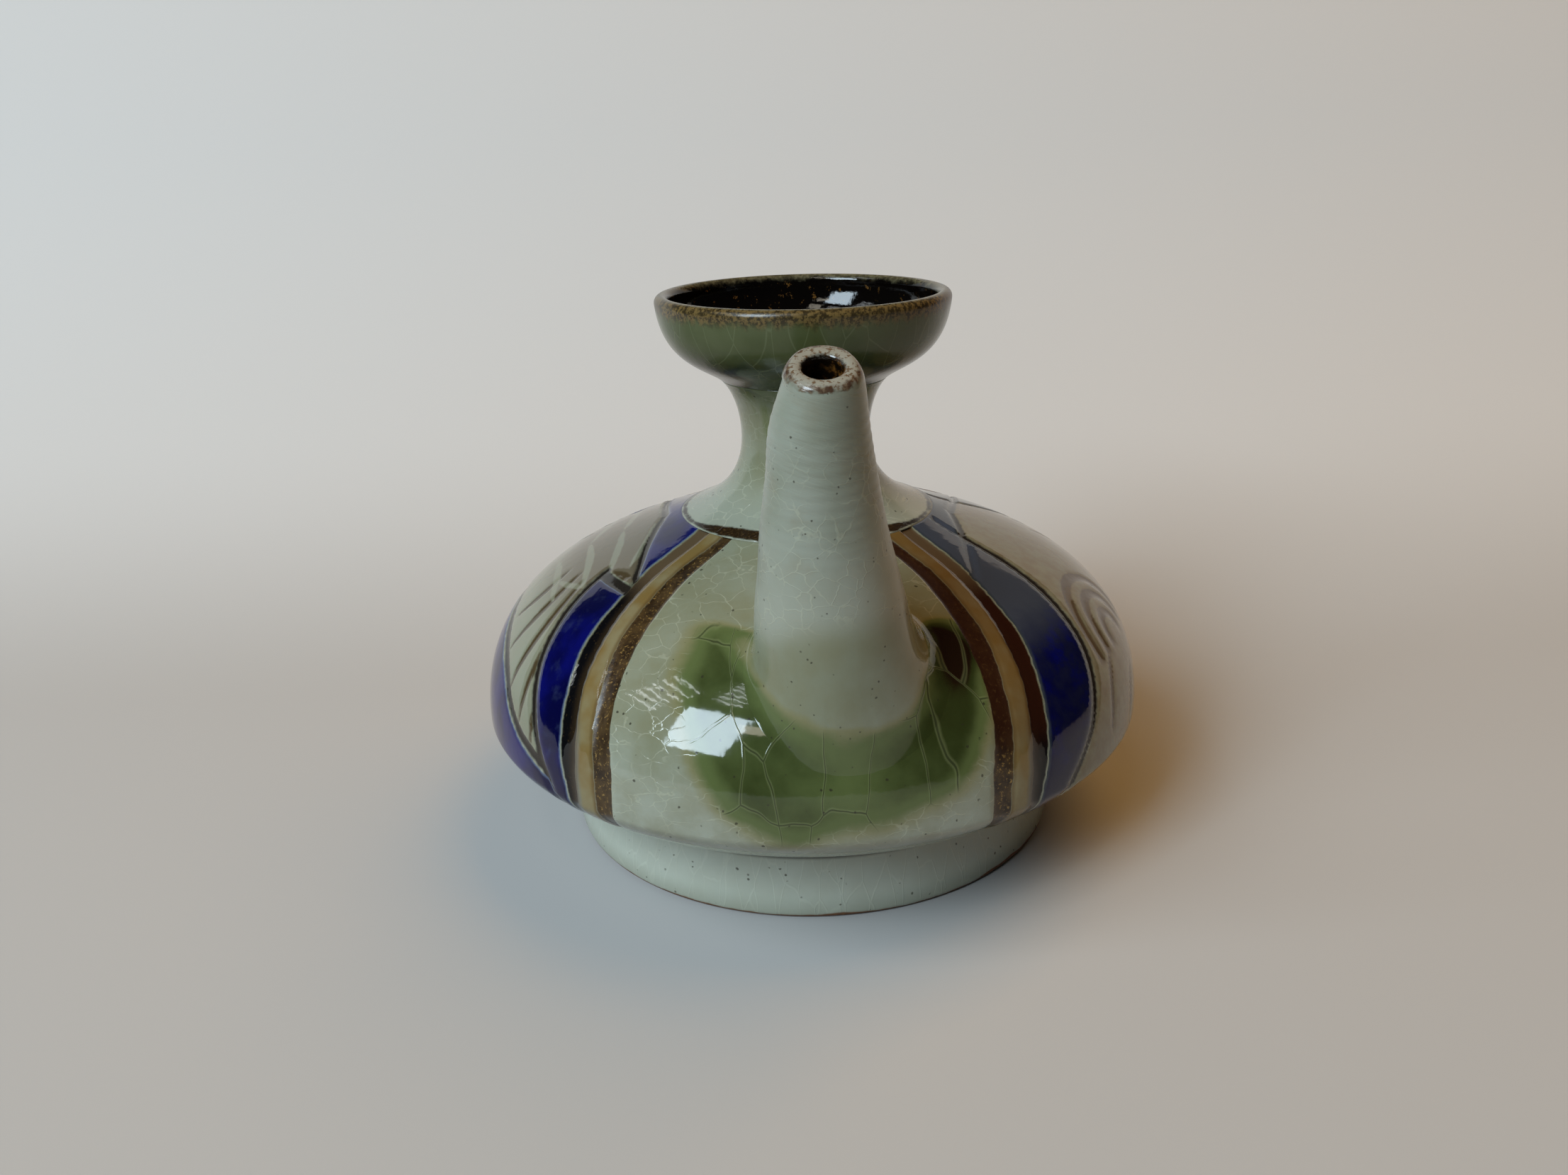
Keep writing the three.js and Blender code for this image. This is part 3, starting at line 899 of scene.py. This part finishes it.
colour = mix(remap(up, 84.5, 90), colour, neckForm["topGreen"])
fine = times(glazeCracks(at, 4.0), remap(up, 78, 68, 0.4, 1))
colour = mix(times(fine, 0.35), colour, glaze["line"])
colour = glazeSpecks(at, colour)
ringEdge, ringBrown, _ = numbers("ring")
ringIn = plus(ringEdge, swing(noise(at, 2.4, 3, 0.6), 0.5))
grain = noise(at, 0.55, 3, 0.7)
brown = mix(remap(grain, 0.5, 0.66), decoration["brownDark"], decoration["brown"])
brown = mix(ringBrown, decoration["line"], brown)
colour = mix(remap(ringIn, -0.12, 0.12), colour, brown)
put(shader.inputs["Base Color"], colour)
put(shader.inputs["Roughness"], plus(times(noise(at, 5, 3), 0.1), 0.1))
shader.inputs["IOR"].default_value = 1.55
first = relief(shader, noise(at, 3.2, 2), 0.14, 0.25)
relief(shader, fine, 0.04, 0.6, first)
neck.data.materials.append(neckMaterial)
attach(neck, "vessel")
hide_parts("neck")
print("neck thrown")


# Cup

cupForm = {"wallSlope": 85, "fullness": 0.76, "footSlope": 40, "footSweep": 0.4, "lip": 2.8, "floor": 2.6,
           "lipSteps": 14, "columns": 420,
           "olive": tone(66, 74, 41), "olivePale": tone(78, 84, 53), "oliveTop": tone(32, 42, 18),
           "crackle": tone(116, 122, 90), "rust": tone(46, 32, 16), "rustPale": tone(104, 82, 46),
           "lipDark": tone(66, 60, 42), "lipPale": tone(98, 92, 68), "ink": tone(6, 4, 3),
           "fleck": tone(96, 66, 30)}
cupRadius = cupHigh.x
cupBase = cupLow.z
lipRound = cupForm["lip"] / 2
lipHeight = cupHigh.z - lipRound
cupDepth = lipHeight - cupBase
cupFoot = np.array([neckForm["topRadius"], cupBase])
cupRim = np.array([cupRadius, lipHeight])
footReach = (cupRadius - neckForm["topRadius"]) * cupForm["footSweep"]
cupOuter = bezierLine(
    cupFoot, cupFoot + direction(cupForm["footSlope"], footReach),
    cupRim - direction(cupForm["wallSlope"], cupDepth * cupForm["fullness"]), cupRim, 44)
turns = np.radians(np.linspace(0, 180, cupForm["lipSteps"] + 1))
lipLine = np.stack([cupRadius - lipRound + lipRound * np.cos(turns), lipHeight + lipRound * np.sin(turns)], 1)
turns = np.radians(np.linspace(0, 90, 36))
hollowRadius, hollowDepth = cupRadius - cupForm["lip"], cupDepth - cupForm["floor"]
cupInner = np.stack([
    bore + (hollowRadius - bore) * np.cos(turns), lipHeight - hollowDepth * np.sin(turns)], 1)
cupOutline = [(bore, cupBase)] + [tuple(p) for p in np.vstack([cupOuter, lipLine[1:], cupInner[1:]])]
cupOutline += [(bore, cupBase + cupForm["floor"] * 0.5), (bore, cupBase)]
cup = throwOnWheel("cup", cupOutline, cupForm["columns"])
points = pointsOf(cup)
lipTop = lengthsAlong(np.array(cupOutline))[len(cupOuter) + cupForm["lipSteps"] // 2]
keepNumber(cup, "pastLip", alongOutline(points, cupOutline) - lipTop)

cupMaterial, tree, shader = startMaterial("cupGlaze")
at = place()
up = parts(at)[2]
past = number("pastLip")   # below 0 outside the cup, above 0 inside it
blotch = noise(at, 2.6, 4, 0.65)
fine = noise(at, 0.7, 3, 0.7)
olive = mix(remap(noise(at, 9, 3), 0.35, 0.65), cupForm["olive"], cupForm["olivePale"])
olive = mix(remap(up, 98, 92), olive, cupForm["oliveTop"])
upright = crackle(stretch(at, (1, 1, 0.3)), 4.6, 0.12, 0.35)
olive = mix(times(upright, 0.3), olive, cupForm["crackle"])
rust = mix(remap(fine, 0.42, 0.58), cupForm["rust"], cupForm["rustPale"])
downReach = plus(past, swing(blotch, 3.4))
drip = plus(past, swing(noise(stretch(at, (1, 1, 0.3)), 1.6, 3), 3.0))
rusty = remap(drip, -4.6, -2.6)
colour = mix(times(rusty, 0.9), olive, rust)
lipTone = mix(remap(fine, 0.4, 0.62), cupForm["lipDark"], cupForm["lipPale"])
lipIn = plus(past, swing(fine, 1.2))
colour = mix(remap(lipIn, -0.9, -0.2), colour, lipTone)
flecks = times(remap(noise(at, 1.5, 4, 0.7), 0.61, 0.69), remap(past, 11, 4))
inky = mix(flecks, cupForm["ink"], cupForm["fleck"])
colour = mix(remap(downReach, 0.6, 2.2), colour, inky)
put(shader.inputs["Base Color"], colour)
rough = remap(past, 0.5, 2.0, 0.17, 0.04)
rough = plus(rough, times(times(rusty, remap(past, 0.5, -0.5)), 0.08))
put(shader.inputs["Roughness"], rough)
shader.inputs["IOR"].default_value = 1.5
shader.inputs["Specular IOR Level"].default_value = 0.4
first = relief(shader, noise(at, 3.0, 3), 0.18, 0.3)
relief(shader, fine, 0.05, 0.3, first)
cup.data.materials.append(cupMaterial)
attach(cup, "vessel")
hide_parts("mouth_cup")
print("cup thrown")


# Spout

spoutForm = {
    "rootReach": 50, "tipLean": 22, "tipRadius": 5.6, "boreRadius": 2.9,
    "rootSweep": 0.12, "tipSweep": 0.35, "inside": 9,
    "shares": (-0.3, 0, 0.18, 0.32, 0.46, 0.64, 0.81, 0.93, 1.0),
    "radii": (15.2, 13.6, 12.45, 11.3, 10.15, 8.65, 7.35, 6.35, 5.65),
    "sideways": (2.6, 2.0, 1.25, 0.6, 0, -0.25, -0.35, -0.1, 0),
    "knuckle": (0, 0, 0, -0.2, -0.2, -0.1, 0.3, -0.2, -0.45), "backLip": 0.7,
    "lip": ((6.05, 2.1), (5.92, 1.5), (5.68, 0.95), (5.34, 0.5), (4.9, 0.18), (4.4, 0.02), (3.85, 0),
            (3.4, 0.12), (3.08, 0.4), (2.93, 0.8), (2.9, 1.3)),
    "filletAngles": (0, 90, 180, 270, 360), "filletSpread": (6.5, 8.5, 2.2, 4.0, 6.5),
    "filletRise": (12, 12, 6, 9, 12),
    "filletRings": 14, "greenClimb": 8, "tubeRings": 74, "boreRings": 16, "columns": 160,
    "runIn": 30, "sunk": 0.15, "throwing": 0.04,
    "cream": tone(126, 129, 112), "creamPale": tone(138, 141, 127), "creamWarm": tone(126, 118, 96),
    "creamLow": tone(158, 158, 144), "lipTone": tone(140, 136, 122), "lipSpots": tone(98, 78, 58),
    "rimDark": tone(66, 44, 30), "rimPale": tone(104, 86, 66), "bore": tone(16, 9, 4),
    "boreAmber": tone(104, 66, 26),
}
rootSlot = np.argmin(np.abs(shoulder[:, 0] - spoutForm["rootReach"]))
rootHeight = float(np.interp(-spoutForm["rootReach"], -shoulder[:, 0], shoulder[:, 1]))
rootAlong = tangents[bodyForm["undersideRows"] + rootSlot]
rootLean = np.array([-rootAlong[1], -rootAlong[0]])   # (y, z) out of the shoulder
spoutHigh = boxOf("spout")[1]
lean = math.radians(spoutForm["tipLean"])
tipPlace = np.array([-(bellyRadius - spoutForm["tipRadius"] * math.cos(lean)),
                     spoutHigh.z - spoutForm["tipRadius"] * math.sin(lean)])
rootPlace = np.array([-spoutForm["rootReach"], rootHeight])
span = np.linalg.norm(tipPlace - rootPlace)
tipOut = np.array([-math.sin(lean), math.cos(lean)])
centreLine = (rootPlace, rootPlace + rootLean * span * spoutForm["rootSweep"],
              tipPlace - tipOut * span * spoutForm["tipSweep"], tipPlace)
fineLine = bezierLine(*centreLine, 400)
runIn = np.linspace(spoutForm["runIn"], 0, 120, endpoint=False)   # straight on, down into the body
fineLine = np.vstack([rootPlace - rootLean * runIn[:, None], fineLine])
fineSteps = lengthsAlong(fineLine) - spoutForm["runIn"]
spoutLength = fineSteps[-1]
fineTangents = np.gradient(fineLine, axis=0)
fineTangents /= np.hypot(*fineTangents.T)[:, None]


def onSpout(along, angle, radius):
    # a point on a ring square to the spout's centre line, along it in millimetres from the root
    cy, cz = (np.interp(along, fineSteps, fineLine[:, k]) for k in range(2))
    ty, tz = (np.interp(along, fineSteps, fineTangents[:, k]) for k in range(2))
    cx = curveThrough(spoutForm["shares"], spoutForm["sideways"], along / spoutLength)
    x = cx + radius * np.cos(angle)
    return np.stack(np.broadcast_arrays(
        x, cy - radius * np.sin(angle) * tz, cz + radius * np.sin(angle) * ty), -1)


def outsideRadius(along):
    return curveThrough(spoutForm["shares"], spoutForm["radii"], along / spoutLength)


def aboveWall(points):
    return np.hypot(points[..., 0], points[..., 1]) - wallRadius(points[..., 2])


def wallPoint(points):
    # the nearest place on the body's outer wall, found in the plane through the axis
    reach = np.hypot(points[..., 0], points[..., 1])
    flat = np.stack([reach.ravel(), points[..., 2].ravel()], 1)
    first = np.argmin(((flat[:, None] - wallFine[None]) ** 2).sum(-1), 1)
    nearest = wallFine[first]
    turn = np.arctan2(points[..., 0], -points[..., 1]).ravel()
    found = np.stack([nearest[:, 0] * np.sin(turn), -nearest[:, 0] * np.cos(turn), nearest[:, 1]], 1)
    slope = wallFineTangents[first]
    normal = np.stack([slope[:, 1] * np.sin(turn), -slope[:, 1] * np.cos(turn), -slope[:, 0]], 1)
    return found.reshape(points.shape), normal.reshape(points.shape)


fineShares = np.linspace(0, 1, 3000)
wallFine = np.stack([np.interp(fineShares * wallAlong[-1], wallAlong, outerWall[:, k]) for k in range(2)], 1)
wallFineTangents = np.gradient(wallFine, axis=0)
wallFineTangents /= np.hypot(*wallFineTangents.T)[:, None]

angles = np.arange(spoutForm["columns"]) * 2 * math.pi / spoutForm["columns"]
low, high = np.full(len(angles), -25.0), np.full(len(angles), 25.0)
for _ in range(40):   # where each side of the tube meets the shoulder
    middle = (low + high) / 2
    inside = aboveWall(onSpout(middle, angles, outsideRadius(middle))) < 0
    low, high = np.where(inside, middle, low), np.where(inside, high, middle)
meets = (low + high) / 2
meeting = onSpout(meets, angles, outsideRadius(meets))
rise = curveThrough(spoutForm["filletAngles"], spoutForm["filletRise"], np.degrees(angles))
spread = curveThrough(spoutForm["filletAngles"], spoutForm["filletSpread"], np.degrees(angles))
starts = meets + rise
tubeFoot = onSpout(starts, angles, outsideRadius(starts))
tubeDown = onSpout(starts - 1, angles, outsideRadius(starts - 1)) - tubeFoot
tubeDown /= np.linalg.norm(tubeDown, axis=1)[:, None]
centreAtMeeting = onSpout(meets, angles, 0)
radial = meeting - centreAtMeeting
radial /= np.linalg.norm(radial, axis=1)[:, None]
_, wallNormal = wallPoint(meeting)
outward = radial - (radial * wallNormal).sum(1)[:, None] * wallNormal
outward /= np.linalg.norm(outward, axis=1)[:, None]
edge, edgeNormal = wallPoint(meeting + outward * spread[:, None])
inward = -(outward - (outward * edgeNormal).sum(1)[:, None] * edgeNormal)
inward /= np.linalg.norm(inward, axis=1)[:, None]

ringPlaces = []
t = np.linspace(0, 1, spoutForm["filletRings"] + 1)
edgeSunk = edge - edgeNormal * spoutForm["sunk"]
edgePull = edge + inward * (spread * 0.75)[:, None]
footPull = tubeFoot + tubeDown * (rise * 0.72)[:, None]
for share in t:
    weights = ((1 - share) ** 3, 3 * (1 - share) ** 2 * share, 3 * (1 - share) * share ** 2, share ** 3)
    ringPlaces.append(sum(w * p for w, p in zip(weights, (edgeSunk, edgePull, footPull, tubeFoot))))
tubeEnd = spoutLength - spoutForm["lip"][0][1]
for ring in range(1, spoutForm["tubeRings"] + 1):
    share = ring / spoutForm["tubeRings"]
    along = starts + (tubeEnd - starts) * share
    reach = outsideRadius(along)
    reach = reach + spoutForm["throwing"] * np.sin(along * 3.4 + angles) \
        * ease(along, 16, 28) * ease(-along, -48, -42)
    reach = reach + curveThrough(spoutForm["shares"], spoutForm["knuckle"], along / spoutLength) \
        * np.clip(-np.cos(angles), 0, 1) ** 2 * ease(along, 8, 16)
    ringPlaces.append(onSpout(along, angles, reach))
backward = np.clip(-np.sin(angles), 0, 1) ** 2
for reach, below in spoutForm["lip"][1:]:
    outer = float(ease(reach, 3.2, 4.6))
    raised = spoutForm["backLip"] * backward * (0.25 + 0.75 * outer) * ease(-below, -2.1, -0.6)
    ringPlaces.append(onSpout(spoutLength - below + raised, angles, reach + 0.2 * backward * outer))
boreStart = spoutLength - spoutForm["lip"][-1][1]
for ring in range(1, spoutForm["boreRings"] + 1):
    share = ring / spoutForm["boreRings"]
    along = boreStart - (boreStart + spoutForm["inside"]) * share
    reach = min(spoutForm["boreRadius"] + 5.1 * min(share * 1.25, 1) ** 0.9, bore)
    ringPlaces.append(onSpout(along, angles, reach))
ringPlaces = np.array(ringPlaces)
rings = len(ringPlaces)

selectNothing()
bpy.ops.mesh.primitive_circle_add(vertices=spoutForm["columns"], radius=10 * mm, fill_type="NOTHING")
spout = bpy.context.object
spout.name = spout.data.name = "spout_tube"
editAll()
for _ in range(rings - 1):   # a straight tube first, a millimetre a ring
    bpy.ops.mesh.extrude_region_move(TRANSFORM_OT_translate={"value": (0, 0, 1 * mm)})
bpy.ops.object.mode_set(mode="OBJECT")
straight = pointsOf(spout)
ringOf = np.rint(straight[:, 2]).astype(int)
turns = np.arctan2(straight[:, 1], straight[:, 0])
columnOf = np.rint(turns / (2 * math.pi) * spoutForm["columns"]).astype(int)
selectWhere(spout, (ringOf == 0) | (ringOf == rings - 1))
bpy.ops.object.mode_set(mode="EDIT")
bpy.ops.mesh.bridge_edge_loops()   # closes the tube's wall inside the body
bpy.ops.object.mode_set(mode="OBJECT")
setPoints(spout, ringPlaces[ringOf, columnOf % spoutForm["columns"]])   # then bent into its place
editAll()
bpy.ops.mesh.normals_make_consistent(inside=False)
finishSmooth()
points = pointsOf(spout)
keepNumber(spout, "pool", poolDepth(points))
tubeTop = spoutForm["filletRings"] + spoutForm["tubeRings"]
ringSteps = np.r_[0, np.cumsum(np.linalg.norm(np.diff(ringPlaces[:, 0], axis=0), axis=1))]
turns = np.arctan2(points[:, 0], -points[:, 1])
keepVector(spout, "wrap", turns * 55, upWall(points[:, 2]), turns * 0)
frontward = np.clip(np.sin(angles[columnOf % spoutForm["columns"]]), 0, 1)
keepVector(spout, "ringAt", ringSteps[ringOf] - ringSteps[tubeTop],
           ease(ringOf - spoutForm["greenClimb"] * frontward, 0, spoutForm["filletRings"] * 1.6), ringOf * 0)

spoutMaterial, tree, shader = startMaterial("spoutGlaze")
at = place()
pastLip, upTube, _ = numbers("ringAt")
east, north, up = parts(at)
ground = glazeGround(at)
base, depth = poolOver(at, ground, number("pool"))
creamy = mix(remap(noise(at, 11, 3), 0.3, 0.7), spoutForm["cream"], spoutForm["creamPale"])
creamy = mix(times(remap(noise(at, 5, 4), 0.5, 0.75), 0.35), creamy, spoutForm["creamWarm"])
creamy = mix(remap(up, 80, 60, 0, 0.6), creamy, spoutForm["creamLow"])
colour = mix(remap(upTube, 0.1, 1.0), base, creamy)
cracks = times(glazeCracks(at, 3.3, (1, 1, 1.2)), remap(up, 96, 84))
cracks = times(cracks, remap(upTube, 0.3, 0.9))
inPool = times(remap(depth, 0.1, 0.45), remap(upTube, 0.4, 0.1))
cracks = times(cracks, minus(1, inPool))
colour = mix(times(cracks, 0.25), colour, glaze["line"])
longLine, longHalo = poolCracks(vectorOf("wrap"), inPool)
colour = mix(times(longHalo, 0.28), colour, glaze["poolLine"])
colour = mix(times(longLine, 0.7), colour, glaze["lineDark"])
colour = glazeSpecks(at, colour, 1.5, 0.16)
# the lip: brown where its edge thins the glaze, and amber down into the bore
blotch = noise(at, 1.3, 4, 0.65)
onLip = plus(pastLip, swing(blotch, 1.6))
rim = times(remap(onLip, 0.7, 1.2), remap(onLip, 2.5, 1.9))
lipTone = mix(remap(noise(at, 0.8, 3, 0.6), 0.5, 0.6), spoutForm["lipTone"], spoutForm["lipSpots"])
colour = mix(remap(onLip, 1.2, 1.8), colour, lipTone)
rimTone = mix(remap(blotch, 0.45, 0.6), spoutForm["rimDark"], spoutForm["rimPale"])
rim = times(rim, remap(noise(at, 2.4, 2), 0.42, 0.56, 0.25, 0.95))
colour = mix(rim, colour, rimTone)
boreTone = mix(times(remap(blotch, 0.45, 0.65), remap(east, -1, 3)),
                    spoutForm["bore"], spoutForm["boreAmber"])
colour = mix(remap(onLip, 3.6, 4.4), colour, boreTone)
put(shader.inputs["Base Color"], colour)
satin = plus(times(noise(at, 4, 3), 0.14), 0.26)
glossy, wavy = glossyGlaze(at)
satin = minus(satin, times(remap(pastLip, -0.5, 1.0), 0.18))
matt = remap(upTube, 0.25, 0.95)
rough = plus(times(satin, matt), times(glossy, minus(1, matt)))
put(shader.inputs["Roughness"], rough)
shader.inputs["IOR"].default_value = 1.52
slanted = plus(times(up, 1.5), times(east, 0.45))
wheel = tree.nodes.new("ShaderNodeCombineXYZ")
put(wheel.inputs[0], times(east, 0.12))
put(wheel.inputs[1], times(north, 0.12))
put(wheel.inputs[2], slanted)
wheelMarks = noise(wheel.outputs[0], 1.2, 2)
wheelMarks = times(wheelMarks, remap(up, 76, 90))
first = relief(shader, wheelMarks, 0.25, 0.6)
second = relief(shader, wavy, 0.06, 0.2, first)
relief(shader, plus(cracks, longHalo), 0.04, 0.5, second)
spout.data.materials.append(spoutMaterial)
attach(spout, "vessel")
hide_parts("spout")
print("spout drawn")


# Loose clay ball

ballForm = {"share": 0.985, "lumps": 0.12, "clay": tone(150, 116, 86), "clayDark": tone(118, 84, 58)}
ballLow, ballHigh = boxOf("rattle_ball")
ballRadius = (ballHigh.x - ballLow.x) / 2
ballMiddle = (ballLow + ballHigh) / 2
selectNothing()
bpy.ops.mesh.primitive_ico_sphere_add(
    subdivisions=5, radius=ballRadius * ballForm["share"] * mm, location=(0, 0, 0))
ball = bpy.context.object
ball.name = ball.data.name = "clay_ball"
editAll()
bpy.ops.transform.vertex_random(offset=ballForm["lumps"] * mm, uniform=0.4, normal=1, seed=4)
bpy.ops.mesh.vertices_smooth(factor=0.5, repeat=2)
bpy.ops.transform.translate(value=ballMiddle * mm)
finishSmooth()
ballMaterial, tree, shader = startMaterial("bareClay")
at = place()
clay = mix(remap(noise(at, 4, 4), 0.3, 0.7), ballForm["clay"], ballForm["clayDark"])
put(shader.inputs["Base Color"], glazeSpecks(at, clay, 1.1))
put(shader.inputs["Roughness"], remap(noise(at, 2, 3), 0.3, 0.7, 0.8, 0.95))
relief(shader, noise(at, 0.6, 3), 0.08, 0.6)
ball.data.materials.append(ballMaterial)
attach(ball, "ball")
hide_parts("rattle_ball")
print("ball rolled")
